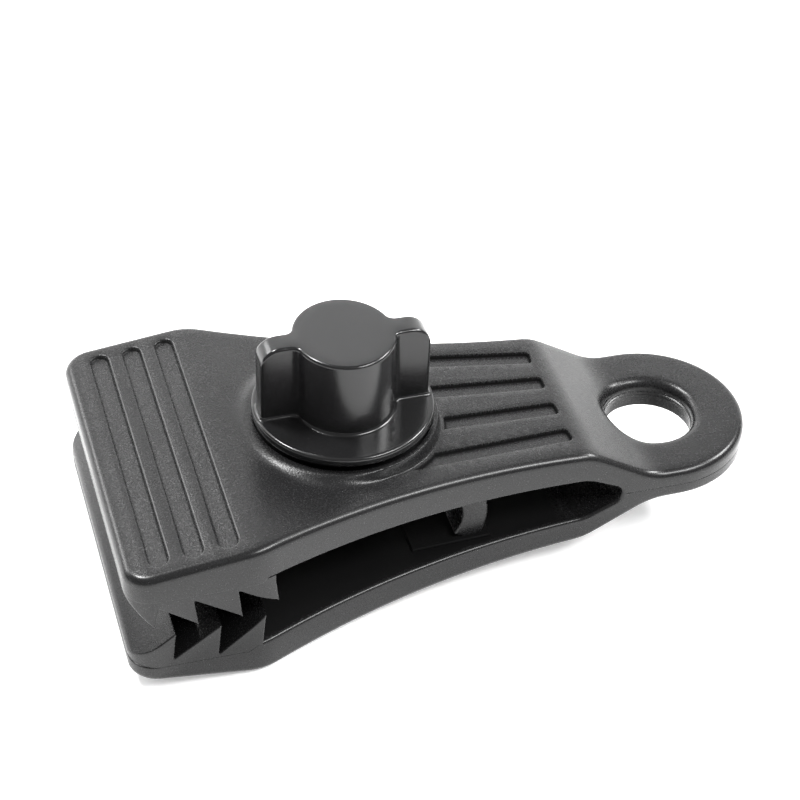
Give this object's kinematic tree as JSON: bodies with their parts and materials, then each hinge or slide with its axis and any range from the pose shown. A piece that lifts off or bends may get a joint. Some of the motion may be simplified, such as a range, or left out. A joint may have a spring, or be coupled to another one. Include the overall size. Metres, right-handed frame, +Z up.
{
  "type": "tarp clip",
  "caption": "Tarp clip with two toothed jaws joined at a lashing eye, a curved spring web between them and a winged thumb knob that draws them together.",
  "frame": {"origin": "under the middle of the clip's box, in the plane of its lowest points", "axes": "+X from the toothed jaw front to the lashing eye, +Y across the clip, +Z up along the thumb screw"},
  "size_m": [0.0798, 0.0412, 0.0305],
  "materials": {
    "body_plastic": "fine grain, satin",
    "knob_plastic": "smooth satin",
    "zinc_steel": "zinc plated"
  },
  "bodies": {
    "body": {"lower_jaw": "body_plastic", "lashing_eye": "body_plastic", "hex_nut": "zinc_steel", "spring_web": "body_plastic"},
    "upper_arm": {"upper_jaw": "body_plastic"},
    "washer_body": {"washer": "zinc_steel"},
    "knob": {"thumb_knob": "knob_plastic", "clamp_screw": "zinc_steel"}
  },
  "joints": [
    {"name": "knob_travel", "type": "slide", "parent": "body", "child": "washer_body", "axis": [0, 0, -1], "range_m": [0, 0.00076]},
    {"name": "knob_turn", "type": "hinge", "parent": "washer_body", "child": "knob", "pos_m": [-0.01065, 0, 0.0194], "axis": [0, 0, -1], "range_deg": [0, 340]},
    {"name": "jaw_close", "type": "hinge", "parent": "body", "child": "upper_arm", "pos_m": [0.0176, 0, 0.01361], "axis": [0, -1, 0], "range_deg": [0, 2.1], "deforming": ["spring_web"]}
  ],
  "couplings": [
    {"joint": "knob_travel", "follows": "knob_turn", "m_per_rad": 0.00012732},
    {"joint": "jaw_close", "follows": "knob_turn", "ratio": 0.0061361}
  ]
}
